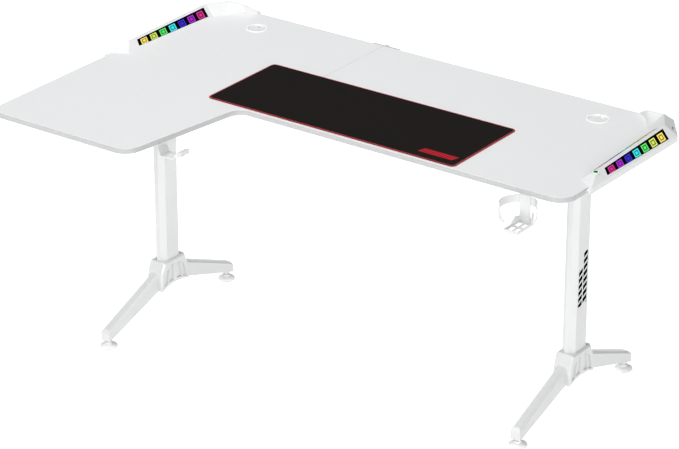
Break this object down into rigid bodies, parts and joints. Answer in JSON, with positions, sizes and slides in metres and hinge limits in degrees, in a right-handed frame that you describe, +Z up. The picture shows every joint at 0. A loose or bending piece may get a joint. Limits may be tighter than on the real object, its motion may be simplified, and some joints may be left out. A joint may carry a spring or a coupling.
{
  "type": "corner desk",
  "caption": "L-shaped corner desk on two metal legs, with a light wing at each end, a desk mat, a cup ring, a headphone hook and a cable hook.",
  "frame": {"origin": "on the floor, under the middle of the whole desk's box", "axes": "+X along the desk to the right of the sitter, +Y towards the rear edge, +Z up"},
  "size_m": [1.5982, 1.048, 0.7775],
  "materials": {
    "desk_laminate": "satin",
    "mat_cloth": "matte",
    "white_plastic": "matte",
    "grey_plastic": "matte",
    "dark_lens": "gloss",
    "board": "satin",
    "black_plastic": "satin",
    "white_steel": "satin",
    "zinc_steel": "satin",
    "foot_rubber": "matte"
  },
  "bodies": {
    "root": {"desk_top_left": "desk_laminate", "desk_top_right": "desk_laminate", "grommet_liner_left": "grey_plastic", "light_wing_left": "white_plastic", "lens_inner_left": "dark_lens", "lens_outer_left": "dark_lens", "lamp_board_left": "board", "post_left": "white_steel", "frame_arm_left": "white_steel", "hub_left": "white_steel", "foot_beam_front_left": "white_steel", "foot_beam_rear_left": "white_steel", "grommet_liner_right": "grey_plastic", "light_wing_right": "white_plastic", "lens_inner_right": "dark_lens", "lens_outer_right": "dark_lens", "lamp_board_right": "board", "post_right": "white_steel", "frame_arm_right": "white_steel", "hub_right": "white_steel", "foot_beam_front_right": "white_steel", "foot_beam_rear_right": "white_steel", "switch_board": "board", "power_inlet": "black_plastic", "frame_rail_front": "white_steel", "frame_rail_rear": "white_steel", "cup_ring": "white_steel", "cup_bracket": "white_steel", "headphone_hook": "white_steel", "cable_hook": "white_steel", "joining_plate_front": "white_steel", "joining_plate_rear": "white_steel", "top_screws": "zinc_steel", "accessory_screws": "zinc_steel", "wing_screws": "zinc_steel", "joining_screws": "zinc_steel", "plate_bolts": "zinc_steel", "rail_bolts": "zinc_steel", "hub_bolts": "zinc_steel"},
    "mat": {"desk_mat": "mat_cloth"},
    "button": {"light_button": "black_plastic"},
    "cap_left": {"grommet_cap_left": "grey_plastic"},
    "foot_front_left": {"foot_front_left": "foot_rubber"},
    "foot_rear_left": {"foot_rear_left": "foot_rubber"},
    "cap_right": {"grommet_cap_right": "grey_plastic"},
    "foot_front_right": {"foot_front_right": "foot_rubber"},
    "foot_rear_right": {"foot_rear_right": "foot_rubber"}
  },
  "joints": [
    {"name": "mat_lift", "type": "slide", "parent": "root", "child": "mat", "axis": [0, 0, 1], "range_m": [0, 0.03]},
    {"name": "button_press", "type": "slide", "parent": "root", "child": "button", "axis": [0, 0, -1], "range_m": [0, 0.0008], "stiffness_N_per_m": 900, "springref_m": -0.0008},
    {"name": "cap_left_turn", "type": "hinge", "parent": "root", "child": "cap_left", "pos_m": [-0.568, 0.377, 0.7465], "axis": [0, 0, 1], "continuous": true},
    {"name": "foot_front_left_level", "type": "slide", "parent": "root", "child": "foot_front_left", "axis": [0, 0, -1], "range_m": [0, 0.015]},
    {"name": "foot_rear_left_level", "type": "slide", "parent": "root", "child": "foot_rear_left", "axis": [0, 0, -1], "range_m": [0, 0.015]},
    {"name": "cap_right_turn", "type": "hinge", "parent": "root", "child": "cap_right", "pos_m": [0.568, 0.377, 0.7465], "axis": [0, 0, 1], "continuous": true},
    {"name": "foot_front_right_level", "type": "slide", "parent": "root", "child": "foot_front_right", "axis": [0, 0, -1], "range_m": [0, 0.015]},
    {"name": "foot_rear_right_level", "type": "slide", "parent": "root", "child": "foot_rear_right", "axis": [0, 0, -1], "range_m": [0, 0.015]}
  ]
}
